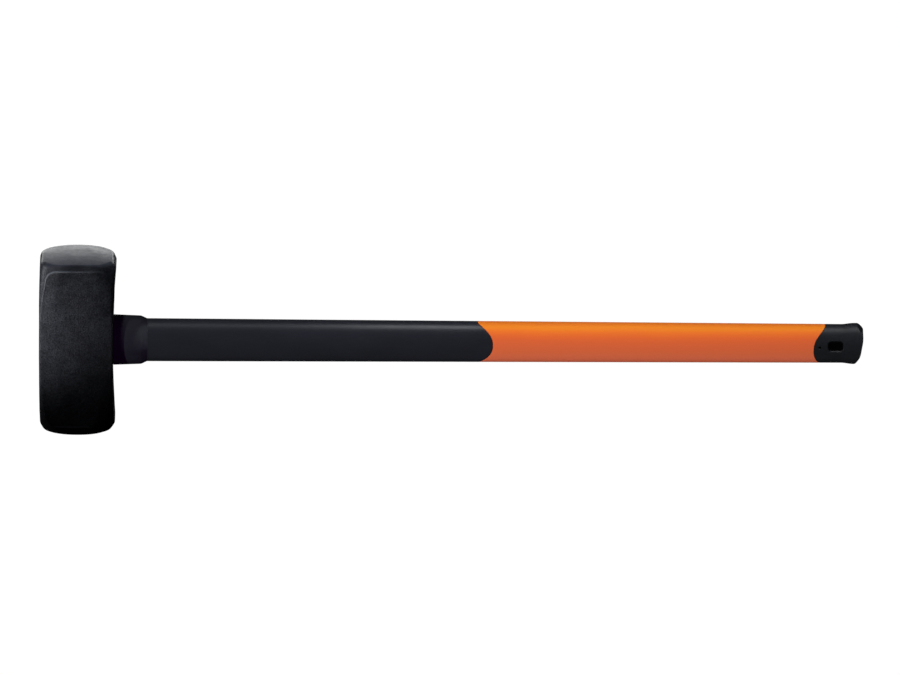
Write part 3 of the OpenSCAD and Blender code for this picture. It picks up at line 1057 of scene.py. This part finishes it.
grip = [sleeve, jacket, cap]
area("key", polar(0.36, -28, 25, 3.0), near(0.36, 0, 0), size=(0.35, 0.35), watts=50, only=grip)
area("front", polar(0.40, -8, 3, 3.2), near(0.40, 0, 0), size=(1.6, 0.12), watts=19, only=grip)
area("top", near(0.62, -0.35, 2.6), near(0.55, 0, 0), size=(1.2, 0.5), watts=34, only=grip)
area("bounce", (0.42, -0.22, 0.002), (0.42, -0.22, 1.0), size=(0.85, 0.40), watts=0.75, only=grip)
area("overhead", near(0.42, -0.22, 0.95), near(0.42, 0, 0), size=(1.3, 0.5), watts=2.0,
     only=grip, glossy=True)
area("overhead_mid", near(0.352, -0.064, 0.28), near(0.352, 0, 0), size=(0.15, 0.12), watts=0.27,
     only=[sleeve], glossy=True)
area("cap_side", polar(0.76, 48, 34, 1.6), near(0.76, 0, 0), size=(0.2, 0.2), watts=7, only=[cap])
area("cap_over", near(0.742, -0.066, 0.28), near(0.742, 0, 0), size=(0.10, 0.18), watts=0.12,
     only=[cap], glossy=True)

on_collar = {"only": [collar], "color": PALE}
spot("key_collar", polar(0.05, -31, 4, 2.4), near(-0.2895, 0, 0), angle=15.76, blend=0.02,
     radius=0.05, watts=188, **on_collar)
area("top_collar", polar(0.05, -30, 74, 2.4), near(0.05, 0, 0), size=(0.10, 0.10), watts=40,
     **on_collar)
spot("low_collar", polar(0.05, -31, -5, 0.9), near(-0.06, 0, 0), angle=15.05, blend=0.02,
     radius=0.02, watts=12, **on_collar)
spot("shoulder", near(0.30, -0.25, 0.30), near(0.0685, -0.016, 0.0115), angle=2.8, blend=0.5,
     radius=0.003, watts=9, **on_collar)
area("dusk_collar", polar(0.05, 20, 5, 2.0), near(0.05, 0, 0), size=(0.3, 0.3), watts=12,
     only=[collar], color=DUSK)

for name, watts, glossy in (("head_key", 3.1, False), ("head_gloss", 0.6, True)):
    spot(name, near(-0.137, -0.159, -0.0195), near(-0.060, -0.0367, 0.0342), angle=65.0,
         radius=0.03, watts=watts, only=[head], glossy=glossy)
spot("head_fill", near(0.34, -0.50, -0.03), near(0.030, -0.037, 0.020), angle=15.0,
     radius=0.05, watts=0.9, only=[head])
spot("head_edge", near(0.25, -0.45, 0), near(0.036, -0.032, 0.012), angle=6.5,
     radius=0.02, watts=2.4, only=[head])
spot("head_corner", near(0.25, -0.45, 0.10), near(0.031, -0.034, 0.075), angle=5.0,
     radius=0.02, watts=1.5, only=[head])
area("head_top", near(-0.06, -0.05, 0.60), near(0.0, 0, 0.06), size=(0.12, 0.12), watts=8.0,
     only=[head], color=(0.88, 0.94, 1.08))
area("head_back", near(0.0, 2.2, 0.38), near(0.0, 0, 0.08), size=(2.6, 0.72), watts=16.8,
     only=[head], color=(0.98, 1.0, 0.98), glossy=True)
area("eye_side", near(-1.6, 0.06, 0.25), near(0.0, 0, 0), size=(0.5, 0.3), watts=6, glossy=True)

# ---------------------------------------------------------------- camera
ELEVATION, ROLL = math.radians(16.6), math.radians(0.3089)
DISTANCE = 30.0
VIEW_WIDTH = 0.87354  # width seen at the target
TARGET = Vector(near(0.3610, 0.0, 0.00383))
cam_data = bpy.data.cameras.new("camera")
cam = bpy.data.objects.new("camera", cam_data)
scene.collection.objects.link(cam)
scene.camera = cam
cam_data.sensor_width = 36.0
cam_data.lens = cam_data.sensor_width * DISTANCE / VIEW_WIDTH
cam_data.clip_end = 200.0
back = Vector((0.0, -math.cos(ELEVATION), math.sin(ELEVATION)))
right = Vector((1.0, 0.0, 0.0))
up = back.cross(right)
cos_roll, sin_roll = math.cos(ROLL), math.sin(ROLL)
tilt_right, tilt_up = cos_roll * right + sin_roll * up, cos_roll * up - sin_roll * right
turn = Matrix((tilt_right, tilt_up, back)).transposed().to_4x4()
cam.matrix_world = Matrix.Translation(TARGET + DISTANCE * back) @ turn

scene.view_settings.view_transform = "Standard"
scene.view_settings.look = "None"
